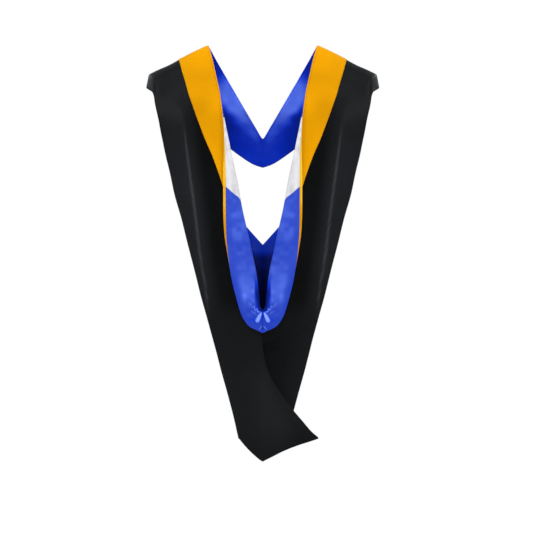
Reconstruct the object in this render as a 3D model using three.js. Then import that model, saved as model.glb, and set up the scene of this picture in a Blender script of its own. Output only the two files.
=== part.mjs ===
// An academic hood, in the form that it takes on a wearer's shoulders.
// Each half is one long strip of cloth. It starts at the centre front as a yoke, crosses the shoulder
// and becomes a folded bag down the back. The mouth of the bag is turned outwards, so that its lining
// shows, and a velvet band follows the neck and the mouth. The keel of the tail flops to one side.
// Millimetres, +Z up. +Y is the wearer's front and +X the wearer's right. The origin lies midway
// between the two highest points of the neck edge, where the hood hangs on the shoulders.

import * as THREE from "three";

// Driving dimensions
const HOOD_LENGTH = 1055; // highest point of the neck edge to the lowest corner of the tail
const SHOULDER_SPAN = 588; // from shoulder tip to shoulder tip
const NECK_SPAN = 278; // between the highest points of the neck edge
const SHOULDER_DROP = 105; // neck edge down to the hem of the shoulder tip
const TIP_LIFT = 22; // how far the shoulder stands above a straight line to its hem
const YOKE_NECK_DROP = 239; // neck edge down to the point of the front V
const YOKE_HEM_DROP = 308; // neck edge down to the hem below that point
const CHEST_DEPTH = 130; // shoulder line forward to the yoke's hem
const BACK_DEPTH = 156; // shoulder line back to the lowest point of the mouth
const VELVET_WIDTH = 76; // of the velvet band, edge to seam
const YOKE_BORDER = 6; // black border left below the velvet on the yoke
const TURNED_WIDTH = 93.5; // centre line to the edge of the turned-out mouth, at its widest
const KEEL_REACH = 144; // centre line to the tip of the flopped keel
const RIDGE_HEIGHT = 9; // soft fold that runs down each wing
const TAIL_PLY_SPACING = 5; // between the layers of cloth in the tail

const SHELL_THICKNESS = 1.1;
const LINING_THICKNESS = 1.0;
const VELVET_THICKNESS = 1.3;
const PLY_GAP = 0.4; // between two cloths that lie on each other
const LINING_GAP = 0.9; // between the shell and its lining
const SEAM_GAP = 0.5; // between two pieces that are sewn edge to edge
const ROLL_RADIUS = 5; // of the turned-out mouth
const PANEL_START = 4; // width of the inner layer where it begins, at the shoulder tip
const GUSSET_START = 3; // strip along the mouth that widens into the keel in the tail
const WING_FOLD_RADIUS = 8.5; // of the fold down the outside of each wing
const FLAT_EDGE = 4; // last strip of the band where the mouth isn't turned out
const FLAT_REVEAL = 1.5; // velvet that stands past the lining where the mouth isn't turned out
const TURNED_REVEAL = 6.5; // the same at the turned-out edge, where most of it shows
const LOW_REVEAL = 0.3; // the same towards the bottom of the mouth
const TURNED_CLEARANCE = 0.6; // between the turned-out velvet and the velvet that it lies on

const HALF_SPAN = SHOULDER_SPAN / 2;
const HALF_NECK = NECK_SPAN / 2;
const SHELL_FACE = PLY_GAP / 2; // faces of the layers, above the strip's middle surface
const SHELL_TOP = SHELL_FACE + SHELL_THICKNESS;
const VELVET_TOP = SHELL_TOP + PLY_GAP + VELVET_THICKNESS;
const TURNED_LIFT = VELVET_TOP + TURNED_CLEARANCE + VELVET_THICKNESS + SHELL_FACE;

// The yoke, from the shoulder line (along 0) to the centre front (along 1). Forward sizes are shares
// of CHEST_DEPTH, hemOut of HALF_SPAN and hemDown of YOKE_HEM_DROP below SHOULDER_DROP.
const YOKE = [
  { along: 0.0, rollForward: 0.0, hemOut: 1.0, hemDown: 0.0, hemForward: 0.06 },
  { along: 0.02, rollForward: 0.12, hemOut: 0.985, hemDown: 0.02, hemForward: 0.13 },
  { along: 0.06, rollForward: 0.21, hemOut: 0.945, hemDown: 0.065, hemForward: 0.22 },
  { along: 0.15, rollForward: 0.34, hemOut: 0.84, hemDown: 0.18, hemForward: 0.38 },
  { along: 0.35, rollForward: 0.62, hemOut: 0.61, hemDown: 0.42, hemForward: 0.65 },
  { along: 0.55, rollForward: 0.79, hemOut: 0.4, hemDown: 0.64, hemForward: 0.83 },
  { along: 0.75, rollForward: 0.9, hemOut: 0.21, hemDown: 0.84, hemForward: 0.94 },
  { along: 0.9, rollForward: 0.95, hemOut: 0.075, hemDown: 0.965, hemForward: 0.985 },
  { along: 1.0, rollForward: 0.96, hemOut: 0.0, hemDown: 1.0, hemForward: 1.0 },
];

// The mouth down the back. Levels are shares of HOOD_LENGTH below the neck edge, horizon (the inner
// edge that shows) of HALF_NECK, back of BACK_DEPTH, seam of VELVET_WIDTH, edgeOut of TURNED_WIDTH.
const MOUTH = [
  { level: 0.0, horizon: 1.0, back: 0.0, seam: 0.82, edgeLevel: 0.0, edgeOut: 1.42 },
  { level: 0.005, horizon: 0.99, back: 0.08, seam: 0.82, edgeLevel: 0.005, edgeOut: 1.4 },
  { level: 0.014, horizon: 0.965, back: 0.14, seam: 0.83, edgeLevel: 0.014, edgeOut: 1.36 },
  { level: 0.03, horizon: 0.928, back: 0.21, seam: 0.857, edgeLevel: 0.03, edgeOut: 1.3 },
  { level: 0.078, horizon: 0.843, back: 0.42, seam: 0.876, edgeLevel: 0.078, edgeOut: 1.22 },
  { level: 0.126, horizon: 0.76, back: 0.575, seam: 0.84, edgeLevel: 0.126, edgeOut: 1.13 },
  { level: 0.174, horizon: 0.69, back: 0.68, seam: 0.76, edgeLevel: 0.174, edgeOut: 1.055 },
  { level: 0.218, horizon: 0.63, back: 0.745, seam: 0.664, edgeLevel: 0.218, edgeOut: 1.025 },
  { level: 0.261, horizon: 0.567, back: 0.785, seam: 0.547, edgeLevel: 0.261, edgeOut: 1.005 },
  { level: 0.334, horizon: 0.448, back: 0.835, seam: 0.43, edgeLevel: 0.334, edgeOut: 0.99 },
  { level: 0.391, horizon: 0.375, back: 0.865, seam: 0.35, edgeLevel: 0.391, edgeOut: 0.988 },
  { level: 0.444, horizon: 0.285, back: 0.895, seam: 0.28, edgeLevel: 0.445, edgeOut: 0.978 },
  { level: 0.492, horizon: 0.205, back: 0.92, seam: 0.22, edgeLevel: 0.495, edgeOut: 0.935 },
  { level: 0.552, horizon: 0.11, back: 0.955, seam: 0.2, edgeLevel: 0.562, edgeOut: 0.825 },
  { level: 0.603, horizon: 0.065, back: 0.98, seam: 0.2, edgeLevel: 0.627, edgeOut: 0.625 },
  { level: 0.623, horizon: 0.052, back: 0.99, seam: 0.2, edgeLevel: 0.672, edgeOut: 0.38 },
  { level: 0.634, horizon: 0.0, back: 1.0, seam: 0.2, edgeLevel: 0.691, edgeOut: 0.0 },
];

// The fold down the outside of each wing: out is a share of HALF_SPAN, back of BACK_DEPTH and
// radius of WING_FOLD_RADIUS.
const WING_FOLD = [
  { level: 0.0995, out: 1.0, back: -0.05, radius: 0.4 },
  { level: 0.11, out: 0.949, back: 0.18, radius: 0.43 },
  { level: 0.132, out: 0.924, back: 0.3, radius: 0.58 },
  { level: 0.174, out: 0.884, back: 0.44, radius: 0.8 },
  { level: 0.218, out: 0.854, back: 0.51, radius: 1.0 },
  { level: 0.334, out: 0.765, back: 0.595, radius: 1.0 },
  { level: 0.449, out: 0.658, back: 0.645, radius: 1.0 },
  { level: 0.565, out: 0.553, back: 0.695, radius: 1.0 },
  { level: 0.68, out: 0.444, back: 0.735, radius: 0.9 },
  { level: 0.796, out: 0.336, back: 0.755, radius: 0.7 },
  { level: 0.87, out: 0.266, back: 0.768, radius: 0.5 },
  { level: 0.944, out: 0.199, back: 0.785, radius: 0.3 },
];

// The inner layer that lies on the wearer's back: its free edge is the rear V of the neck, and
// below that it ends at the centre seam.
const INNER_EDGE = [
  { level: 0.11, out: 0.94, back: 0.17 },
  { level: 0.142, out: 0.86, back: 0.33 },
  { level: 0.19, out: 0.74, back: 0.44 },
  { level: 0.284, out: 0.515, back: 0.535 },
  { level: 0.379, out: 0.29, back: 0.585 },
  { level: 0.435, out: 0.145, back: 0.603 },
  { level: 0.476, out: 0.0155, back: 0.614 },
  { level: 0.481, out: 0.0, back: 0.615 },
  { level: 0.634, out: 0.0, back: 0.667 },
  { level: 0.786, out: 0.0, back: 0.705 },
  { level: 0.944, out: 0.0, back: 0.775 },
];

// The tail below the mouth: reach of the keel past the centre line, a share of KEEL_REACH, and how
// far back the centre line and the keel lie.
const TAIL = [
  { level: 0.634, reach: 0.0, lineBack: 1.0, keelBack: 1.0 },
  { level: 0.697, reach: 0.0, lineBack: 0.985, keelBack: 0.985 },
  { level: 0.722, reach: 0.0, lineBack: 0.985, keelBack: 0.985 },
  { level: 0.742, reach: 0.02, lineBack: 0.985, keelBack: 0.985 },
  { level: 0.786, reach: 0.11, lineBack: 0.98, keelBack: 0.98 },
  { level: 0.829, reach: 0.287, lineBack: 0.965, keelBack: 0.965 },
  { level: 0.873, reach: 0.516, lineBack: 0.935, keelBack: 0.95 },
  { level: 0.901, reach: 0.69, lineBack: 0.905, keelBack: 0.935 },
  { level: 0.928, reach: 0.86, lineBack: 0.865, keelBack: 0.92 },
  { level: 0.944, reach: 1.0, lineBack: 0.83, keelBack: 0.9 },
];

const MOUTH_END = 0.634; // level of the lowest point of the mouth
const TAIL_END = 0.944; // level at which the tail's lower edge meets the wing fold
const TAIL_DIP_START = 0.853; // below this the rows dip towards the tail's corner
const SLANT_END = 0.405; // above this level the rows slant from the neck down to the wing fold
const SLANT_POWER = 1.5;
const TURN_START = 0.08; // levels between which the mouth's edge turns over
const TURN_FULL = 0.25;
const FAN_START = 0.585; // below this the turned-out strip fans round to hang down at the centre
const KEEL_START = 0.7; // levels between which one half of the tail passes behind the other
const KEEL_FULL = 0.745;
const TIP_SHARE = 0.88; // where the shoulder tip's corner lies between neck and hem
const YOKE_BULGE = 6; // roundness of the yoke across its width
const CHEVRON_TOP = 0.175; // levels that bound the chevron
const CHEVRON_EDGE = 0.34; // at the turned-out edge
const CHEVRON_ROLL = 0.391; // at the roll
const CHEVRON_INSIDE = 0.44; // inside the bag

// Segments of each stretch of the strip's width, from the inner edge to the turned-out edge
const SEGMENTS = { inner: 2, fold: 4, cloth: 4, band: 3, gusset: 2, roll: 4, turned: 2 };
const COLUMN = {
  innerEnd: SEGMENTS.inner,
  fold: SEGMENTS.inner + SEGMENTS.fold,
  seam: SEGMENTS.inner + SEGMENTS.fold + SEGMENTS.cloth,
};
COLUMN.line = COLUMN.seam + SEGMENTS.band;
COLUMN.end = COLUMN.line + SEGMENTS.gusset;
COLUMN.rollEnd = COLUMN.end + SEGMENTS.roll;
COLUMN.edge = COLUMN.rollEnd + SEGMENTS.turned;
COLUMN.lip = COLUMN.edge + 1; // the velvet's lip past the edge of the lining

const clamp = (x) => Math.min(1, Math.max(0, x));
const mix = (a, b, t) => a + (b - a) * t;
const ramp = (x, from, to) => {
  const t = clamp((x - from) / (to - from));
  return t * t * (3 - 2 * t);
};

// A column of a table as a smooth curve that never overshoots its rows.
function follow(table, by, at, column) {
  const last = table.length - 1;
  if (at <= table[0][by]) return table[0][column];
  if (at >= table[last][by]) return table[last][column];
  let k = 0;
  while (at > table[k + 1][by]) k++;
  const rise = (i) => (table[i + 1][column] - table[i][column]) / (table[i + 1][by] - table[i][by]);
  const tangent = (i) => {
    if (i === 0) return rise(0);
    if (i === last) return rise(last - 1);
    const before = rise(i - 1);
    const after = rise(i);
    return before * after <= 0 ? 0 : (2 * before * after) / (before + after);
  };
  const span = table[k + 1][by] - table[k][by];
  const t = (at - table[k][by]) / span;
  const a = table[k][column];
  const b = table[k + 1][column];
  return (
    a +
    t * t * (3 - 2 * t) * (b - a) +
    span * t * (1 - t) * ((1 - t) * tangent(k) - t * tangent(k + 1))
  );
}

// A station is a place along the strip: -1 at the centre front, 0 on the shoulder line, and then
// the level down the back. Points have x outwards from the centre line, whichever half they are on.
const isFront = (station) => station < 0;
const isTail = (station) => station > MOUTH_END;
const turning = (station) => ramp(station, TURN_START, TURN_FULL);
const fanning = (station) => ramp(station, FAN_START, MOUTH_END);

function slantedLevel(station) {
  const share = clamp(1 - station / SLANT_END);
  return station + (SHOULDER_DROP / HOOD_LENGTH) * share ** SLANT_POWER;
}

function foldPoint(station) {
  if (isFront(station)) {
    const get = (column) => follow(YOKE, "along", -station, column);
    return new THREE.Vector3(
      HALF_SPAN * get("hemOut"),
      CHEST_DEPTH * get("hemForward"),
      -mix(SHOULDER_DROP, YOKE_HEM_DROP, get("hemDown")),
    );
  }
  const level = slantedLevel(station);
  const get = (column) => follow(WING_FOLD, "level", level, column);
  return new THREE.Vector3(HALF_SPAN * get("out"), -BACK_DEPTH * get("back"), -HOOD_LENGTH * level);
}

// The innermost line that shows from behind: the neck edge and the mouth's horizon.
function neckPoint(station) {
  if (isFront(station)) {
    const forward = CHEST_DEPTH * follow(YOKE, "along", -station, "rollForward");
    return new THREE.Vector3(HALF_NECK * (1 + station), forward, YOKE_NECK_DROP * station);
  }
  const get = (column) => follow(MOUTH, "level", station, column);
  return new THREE.Vector3(HALF_NECK * get("horizon"), -BACK_DEPTH * get("back"), -HOOD_LENGTH * station);
}

// Where the strip turns over at the mouth. In the tail it is the centre line.
function rollPoint(station, flops) {
  if (isTail(station)) return linePoint(station, flops);
  const neck = neckPoint(station);
  const turned = isFront(station) ? 0 : turning(station);
  const past = mix(FLAT_EDGE + FLAT_REVEAL, ROLL_RADIUS + LINING_GAP + LINING_THICKNESS, turned);
  const outward = foldPoint(station).sub(neck).normalize();
  return neck.addScaledVector(outward, past * (1 - fanning(station)));
}

const tailDip = (station) => {
  const share = clamp((station - TAIL_DIP_START) / (TAIL_END - TAIL_DIP_START));
  return HOOD_LENGTH * (1 - TAIL_END) * share ** SLANT_POWER;
};

// The tail's centre line. The half that doesn't flop over passes behind the other one there.
function linePoint(station, flops) {
  const behind = flops ? 0 : 2 * TAIL_PLY_SPACING * ramp(station, KEEL_START, KEEL_FULL);
  const squeeze = 1 - 0.55 * ramp(station, TAIL_DIP_START, TAIL_END);
  const back = BACK_DEPTH * follow(TAIL, "level", station, "lineBack") - behind * squeeze;
  return new THREE.Vector3(0, -back, -HOOD_LENGTH * station - tailDip(station));
}

function keelPoint(station, flops) {
  const reach = KEEL_REACH * follow(TAIL, "level", station, "reach");
  const behind = flops ? 0 : TAIL_PLY_SPACING * ramp(station, KEEL_START, KEEL_FULL);
  const back = BACK_DEPTH * follow(TAIL, "level", station, "keelBack") - behind;
  return new THREE.Vector3(flops ? -reach : reach, -back, -HOOD_LENGTH * station);
}

// The outer layer of cloth: across 0 at the mouth or the tail's centre line, 1 at the wing fold.
function outerPoint(station, across, flops) {
  const roll = rollPoint(station, flops);
  const fold = foldPoint(station);
  const point = roll.clone().lerp(fold, across);
  const tipLift = TIP_LIFT * (isFront(station) ? ramp(-station, 0.4, 0) : ramp(station, 0.075, 0));
  const tent = across < TIP_SHARE ? across / TIP_SHARE : (1 - across) / (1 - TIP_SHARE);
  point.x += tipLift * tent * 0.56;
  point.z += tipLift * tent * 0.83;
  if (isFront(station)) {
    const bulge = YOKE_BULGE * Math.sin(Math.PI * across) * ramp(-station, 0, 0.15);
    point.y += bulge * 0.9;
    point.z += bulge * 0.4;
    return point;
  }
  const power = mix(1, 2.8, ramp(station, 0, 0.2));
  point.y = mix(roll.y, fold.y, across ** power);
  const ridge = mix(0.66, 0.93, clamp((station - 0.13) / 0.5));
  const height = RIDGE_HEIGHT * ramp(station, 0.05, 0.16) * ramp(station, 0.78, 0.5);
  point.y -= height * Math.exp(-(((across - ridge) / 0.13) ** 2)) * ramp(across, 1, 0.9);
  return point;
}

const STEP = 0.002;

// The direction that the outer layer faces at a point.
function outerNormal(station, across, flops) {
  const low = station >= MOUTH_END || station === 0 ? station : station - STEP;
  const along = outerPoint(station + STEP, across, flops).sub(outerPoint(low, across, flops));
  const from = Math.max(0, across - STEP);
  const to = Math.min(1, across + STEP);
  const over = outerPoint(station, to, flops).sub(outerPoint(station, from, flops));
  return along.cross(over).normalize();
}

// Share of the outer layer's width at which the velvet's seam lies.
function seamShare(station) {
  const roll = rollPoint(station);
  const fold = foldPoint(station);
  const width = roll.distanceTo(fold);
  if (!isFront(station)) {
    return (VELVET_WIDTH * follow(MOUTH, "level", station, "seam")) / (fold.x - roll.x);
  }
  const neckLine = new THREE.Vector3(YOKE_NECK_DROP, 0, -HALF_NECK).normalize();
  const square = Math.abs(fold.clone().sub(roll).dot(neckLine)) / width;
  return Math.min(VELVET_WIDTH / (square * width), 1 - YOKE_BORDER / width);
}

// How far the velvet's lip stands out past the lining.
function lipReveal(station) {
  const turned = mix(FLAT_REVEAL, TURNED_REVEAL, ramp(station, 0.2, 0.33));
  return mix(turned, LOW_REVEAL, ramp(station, 0.39, 0.56));
}

// The turned-out edge, lying on the outer layer; reveal moves the point further out, for the lip.
function edgePoint(station, reveal) {
  const get = (column) => follow(MOUTH, "level", station, column);
  const level = get("edgeLevel");
  const roll = rollPoint(level, true);
  const fold = foldPoint(level);
  const out = TURNED_WIDTH * get("edgeOut") + reveal * (1 - fanning(station));
  const across = clamp((out - roll.x) / (fold.x - roll.x));
  const point = outerPoint(level, across, true);
  point.addScaledVector(outerNormal(level, across, true), TURNED_LIFT);
  point.z -= reveal * fanning(station);
  return point;
}

// The strip past the roll. Where the mouth is only partly turned over, it stands up from the cloth.
function turnedPoint(station, column) {
  const roll = rollPoint(station, true);
  const turned = isFront(station) ? 0 : turning(station);
  const normal = outerNormal(station, 0, true);
  const inward = roll.clone().sub(outerPoint(station, 0.06, true)).normalize();
  const fan = fanning(station);
  const heading = inward.lerp(new THREE.Vector3(-(1 - fan), 0, fan), turned).normalize();
  const rolled = Math.min(1, column / SEGMENTS.roll);
  const angle = Math.PI * turned * rolled;
  const tangent = heading.clone().multiplyScalar(Math.cos(angle)).addScaledVector(normal, Math.sin(angle));
  const point = roll.clone().addScaledVector(heading, ROLL_RADIUS * turned * Math.sin(angle));
  point.addScaledVector(normal, ROLL_RADIUS * turned * (1 - Math.cos(angle)));
  point.addScaledVector(tangent, (FLAT_EDGE / 2) * (1 - turned) * rolled);
  if (column <= SEGMENTS.roll) return point;
  const isLip = column > SEGMENTS.roll + SEGMENTS.turned;
  const reveal = isLip ? lipReveal(station) : 0;
  const free = point.clone().addScaledVector(tangent, FLAT_EDGE / 2 + reveal);
  const target = free.lerp(edgePoint(station, reveal), ramp(turned, 0.5, 1));
  return point.lerp(target, isLip ? 1 : (column - SEGMENTS.roll) / SEGMENTS.turned);
}

// The inner layer, from its free edge or seam to the start of the wing fold's arc.
function innerPoint(station, share, arcEnd, outward) {
  const start = arcEnd.clone().addScaledVector(outward, -PANEL_START);
  const level = slantedLevel(station);
  const get = (column) => follow(INNER_EDGE, "level", level, column);
  const dip = tailDip(station);
  const edge = new THREE.Vector3(HALF_SPAN * get("out"), -BACK_DEPTH * get("back"), -HOOD_LENGTH * level - dip);
  const open = ramp(foldPoint(station).x - edge.x, PANEL_START, 8 * PANEL_START);
  return start.lerp(edge, open).lerp(arcEnd, share);
}

// The strip's middle surface at one station, by column.
function stripPoint(station, column, flops) {
  if (column > COLUMN.end) return turnedPoint(station, column - COLUMN.end);
  const fold = foldPoint(station);
  if (column < COLUMN.fold) {
    const radius = WING_FOLD_RADIUS * follow(WING_FOLD, "level", slantedLevel(station), "radius");
    const normal = outerNormal(station, 1, flops);
    const outward = fold.clone().sub(outerPoint(station, 0.97, flops)).normalize();
    const turn = Math.PI * clamp((COLUMN.fold - column) / SEGMENTS.fold);
    const point = fold.clone().addScaledVector(normal, radius * (Math.cos(turn) - 1));
    if (column >= COLUMN.innerEnd) return point.addScaledVector(outward, radius * Math.sin(turn));
    return innerPoint(station, column / SEGMENTS.inner, point, outward);
  }
  const seam = seamShare(Math.min(station, MOUTH_END));
  const roll = rollPoint(station, flops);
  const lineShare = isTail(station) ? 0 : GUSSET_START / roll.distanceTo(fold);
  if (column <= COLUMN.seam) {
    return outerPoint(station, mix(1, seam, (column - COLUMN.fold) / SEGMENTS.cloth), flops);
  }
  if (column <= COLUMN.line) {
    return outerPoint(station, mix(seam, lineShare, (column - COLUMN.seam) / SEGMENTS.band), flops);
  }
  const share = (column - COLUMN.line) / SEGMENTS.gusset;
  if (!isTail(station)) return outerPoint(station, mix(lineShare, 0, share), flops);
  return outerPoint(station, 0, flops).lerp(keelPoint(station, flops), share);
}

function stripNormal(station, column, flops) {
  const last = isTail(station) ? COLUMN.end : COLUMN.lip;
  const before = Math.max(isFront(station) ? COLUMN.fold : 0, column - 1);
  const after = Math.min(last, column + 1);
  const high = Math.min(station + STEP, TAIL_END);
  const crossesEnd = !isTail(station) && isTail(high);
  const to = crossesEnd ? station : high;
  const from = isTail(station) && !isTail(station - STEP) ? station : Math.max(-1, station - STEP);
  const along = stripPoint(to, column, flops).sub(stripPoint(from, column, flops));
  const over = stripPoint(station, before, flops).sub(stripPoint(station, after, flops));
  return along.cross(over).normalize();
}

// A sheet of cloth on the strip: stations is a row of functions of the column, and low and high are
// how far its two faces lie from the middle surface. side is -1 for the half that flops, else 1.
function clothGeometry(side, stations, columns, low, high) {
  const flops = side < 0;
  const faces = [low, high].map((offset) =>
    stations.map((stationAt) =>
      columns.map((column) => {
        const station = stationAt(column);
        const point = stripPoint(station, column, flops);
        point.addScaledVector(stripNormal(station, column, flops), offset(column));
        const ownSide = station < KEEL_START || column < COLUMN.seam;
        if (ownSide) point.x = Math.max(point.x, SEAM_GAP / 2);
        return [side * point.x, point.y, point.z];
      }),
    ),
  );
  const rows = stations.length;
  const width = columns.length;
  const at = (face, i, j) => (face * rows + i) * width + j;
  const triangles = [];
  const quad = (a, b, c, d) => triangles.push(a, b, c, a, c, d);
  for (let i = 0; i + 1 < rows; i++) {
    for (let j = 0; j + 1 < width; j++) {
      quad(at(1, i, j), at(1, i, j + 1), at(1, i + 1, j + 1), at(1, i + 1, j));
      quad(at(0, i, j), at(0, i + 1, j), at(0, i + 1, j + 1), at(0, i, j + 1));
    }
    quad(at(0, i, 0), at(1, i, 0), at(1, i + 1, 0), at(0, i + 1, 0));
    const j = width - 1;
    quad(at(0, i, j), at(0, i + 1, j), at(1, i + 1, j), at(1, i, j));
  }
  for (let j = 0; j + 1 < width; j++) {
    quad(at(0, 0, j), at(0, 0, j + 1), at(1, 0, j + 1), at(1, 0, j));
    const i = rows - 1;
    quad(at(0, i, j), at(1, i, j), at(1, i, j + 1), at(0, i, j + 1));
  }
  if (side < 0) triangles.reverse();
  const geometry = new THREE.BufferGeometry();
  geometry.setAttribute("position", new THREE.Float32BufferAttribute(faces.flat(3), 3));
  geometry.setIndex(triangles);
  geometry.computeVertexNormals();
  return geometry;
}

const span = (from, to) => Array.from({ length: to - from + 1 }, (_, i) => from + i);
const evenly = (from, to, count) => Array.from({ length: count + 1 }, (_, i) => mix(from, to, i / count));
const constant = (stations) => stations.map((station) => () => station);

const YOKE_STATIONS = [-1, -0.83, -0.62, -0.4, -0.22, -0.11, -0.04, 0];
const SHOULDER_STATIONS = [0.007, 0.03, 0.066, 0.1, 0.13, 0.155, CHEVRON_TOP];
const TURNING_STATIONS = [0.2, 0.225, TURN_FULL];
const BOTTOM_STATIONS = [0.59, 0.613, 0.628, MOUTH_END];
const WING_STATIONS = evenly(TURN_FULL, BOTTOM_STATIONS[0], 6).slice(1, -1);
const RING_STATIONS = [...SHOULDER_STATIONS, ...TURNING_STATIONS, ...WING_STATIONS, ...BOTTOM_STATIONS];
const TAIL_STATIONS = [0.668, KEEL_START, 0.722, KEEL_FULL, ...evenly(0.78, TAIL_END, 4)];

const LINING_COLUMNS = [...span(0, COLUMN.line), ...span(COLUMN.end, COLUMN.edge)];

const SEAM_LEVEL = SEAM_GAP / HOOD_LENGTH;
const FRONT_STATIONS = [...YOKE_STATIONS.slice(0, -1), -SEAM_LEVEL];
const PANEL_END = COLUMN.innerEnd + 0.1; // where the inner layer stops and the outer one starts
const OUTER_COLUMNS = [PANEL_END, ...span(COLUMN.innerEnd + 1, COLUMN.end)];

function shellGeometry(side, stations, columns) {
  return clothGeometry(side, constant(stations), columns, () => SHELL_FACE, () => SHELL_TOP);
}

const yokeGeometry = (side) => shellGeometry(side, FRONT_STATIONS, span(COLUMN.fold, COLUMN.end));
const wingGeometry = (side) => shellGeometry(side, [0, ...RING_STATIONS], OUTER_COLUMNS);
const tailGeometry = (side) => shellGeometry(side, [MOUTH_END + SEAM_LEVEL, ...TAIL_STATIONS], OUTER_COLUMNS);
const backPanelGeometry = (side) =>
  shellGeometry(side, [0, ...RING_STATIONS, ...TAIL_STATIONS], span(0, COLUMN.innerEnd));

function liningGeometry(side, stations, columns = LINING_COLUMNS) {
  const top = () => -LINING_GAP;
  const bottom = () => -LINING_GAP - LINING_THICKNESS;
  return clothGeometry(side, stations, columns, bottom, top);
}

function yokeLiningGeometry(side) {
  const columns = LINING_COLUMNS.filter((column) => column >= COLUMN.fold);
  return liningGeometry(side, constant(FRONT_STATIONS), columns);
}

function shoulderLiningGeometry(side) {
  return liningGeometry(side, constant([0, ...SHOULDER_STATIONS.slice(0, -1), CHEVRON_TOP - SEAM_LEVEL]));
}

// The lower border of the chevron slopes across the turned-out strip and on into the bag.
function chevronBorder(column) {
  if (column >= COLUMN.end) {
    return mix(CHEVRON_ROLL, CHEVRON_EDGE, (column - COLUMN.end) / (COLUMN.edge - COLUMN.end));
  }
  return mix(CHEVRON_INSIDE, CHEVRON_ROLL, clamp((column - COLUMN.seam) / (COLUMN.end - COLUMN.seam)));
}

function chevronGeometry(side) {
  const lower = [1 / 3, 2 / 3, 1].map((share) => (column) => mix(TURN_FULL, chevronBorder(column), share));
  return liningGeometry(side, [...constant([CHEVRON_TOP, ...TURNING_STATIONS]), ...lower]);
}

function backLiningGeometry(side) {
  const start = (column) => chevronBorder(column) + SEAM_LEVEL;
  const upper = evenly(0, 1, 4).map((share) => (column) => mix(start(column), BOTTOM_STATIONS[0], share));
  return liningGeometry(side, [...upper, ...constant(BOTTOM_STATIONS.slice(1))]);
}

// On the outer layer the velvet lies on the shell. On the turned-out strip it lies on the lining.
function velvetGeometry(side) {
  const bottom = (column) => mix(SHELL_TOP + PLY_GAP, SHELL_FACE, clamp((column - COLUMN.end) / 2));
  const top = (column) => bottom(column) + VELVET_THICKNESS;
  const stations = constant([...YOKE_STATIONS, ...RING_STATIONS]);
  return clothGeometry(side, stations, span(COLUMN.seam, COLUMN.lip), bottom, top);
}

const blackCloth = new THREE.MeshStandardMaterial({ color: 0x1b1c1f, roughness: 0.75, metalness: 0 });
const goldVelvet = new THREE.MeshStandardMaterial({ color: 0xf2a90a, roughness: 0.9, metalness: 0 });
const blueSatin = new THREE.MeshStandardMaterial({ color: 0x2a44c8, roughness: 0.35, metalness: 0 });
const whiteSatin = new THREE.MeshStandardMaterial({ color: 0xe4e5e6, roughness: 0.35, metalness: 0 });

const hood = new THREE.Group();
const PIECES = [
  { name: "yoke", geometry: yokeGeometry, material: blackCloth },
  { name: "wing", geometry: wingGeometry, material: blackCloth },
  { name: "tail", geometry: tailGeometry, material: blackCloth },
  { name: "back_panel", geometry: backPanelGeometry, material: blackCloth },
  { name: "velvet_band", geometry: velvetGeometry, material: goldVelvet },
  { name: "yoke_lining", geometry: yokeLiningGeometry, material: blueSatin },
  { name: "shoulder_lining", geometry: shoulderLiningGeometry, material: blueSatin },
  { name: "chevron", geometry: chevronGeometry, material: whiteSatin },
  { name: "back_lining", geometry: backLiningGeometry, material: blueSatin },
];
for (const piece of PIECES) {
  for (const [sideName, side] of [["left", -1], ["right", 1]]) {
    const mesh = new THREE.Mesh(piece.geometry(side), piece.material);
    mesh.name = `${piece.name}_${sideName}`;
    hood.add(mesh);
  }
}

export default hood;
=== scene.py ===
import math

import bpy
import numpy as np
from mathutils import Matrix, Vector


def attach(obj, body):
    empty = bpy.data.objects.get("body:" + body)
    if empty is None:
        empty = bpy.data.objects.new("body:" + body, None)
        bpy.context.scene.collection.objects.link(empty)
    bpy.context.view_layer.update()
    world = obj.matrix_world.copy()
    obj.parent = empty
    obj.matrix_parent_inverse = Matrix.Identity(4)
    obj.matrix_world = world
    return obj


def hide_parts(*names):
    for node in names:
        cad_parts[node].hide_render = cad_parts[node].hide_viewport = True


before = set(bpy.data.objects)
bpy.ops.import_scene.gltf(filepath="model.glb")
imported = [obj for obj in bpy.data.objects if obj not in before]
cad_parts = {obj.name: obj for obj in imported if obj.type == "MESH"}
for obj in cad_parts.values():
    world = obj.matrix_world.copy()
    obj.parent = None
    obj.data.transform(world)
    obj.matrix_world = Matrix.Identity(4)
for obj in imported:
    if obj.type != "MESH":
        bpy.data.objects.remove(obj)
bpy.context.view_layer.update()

# An academic hood, in the form that it takes on a wearer's shoulders, seen from behind.
# Each half is one long strip of cloth, described by two coordinates. A station runs along the strip:
# -1 at the centre front, 0 on the shoulder line, and then the level down the back. A lane runs across
# it, from the inner layer's free edge, over the wing fold and the outer layer, to the turned-out mouth.
# Metres, +Z up. +Y is the wearer's front and +X the wearer's right.

# Sizes, the same ones as in the CAD
HOOD_LENGTH = 1.055  # highest point of the neck edge to the lowest corner of the tail
SHOULDER_SPAN = 0.588  # from shoulder tip to shoulder tip
NECK_SPAN = 0.278  # between the highest points of the neck edge
SHOULDER_DROP = 0.105  # neck edge down to the hem of the shoulder tip
TIP_LIFT = 0.022  # how far the shoulder stands above a straight line to its hem
YOKE_NECK_DROP = 0.239  # neck edge down to the point of the front V
YOKE_HEM_DROP = 0.308  # neck edge down to the hem below that point
CHEST_DEPTH = 0.130  # shoulder line forward to the yoke's hem
BACK_DEPTH = 0.156  # shoulder line back to the lowest point of the mouth
VELVET_WIDTH = 0.076  # of the velvet band, edge to seam
YOKE_BORDER = 0.006  # black border left below the velvet on the yoke
TURNED_WIDTH = 0.0935  # centre line to the edge of the turned-out mouth, at its widest
KEEL_REACH = 0.144  # centre line to the tip of the flopped keel
RIDGE_HEIGHT = 0.009  # soft fold that runs down each wing
TAIL_PLY_SPACING = 0.005  # between the layers of cloth in the tail
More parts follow.
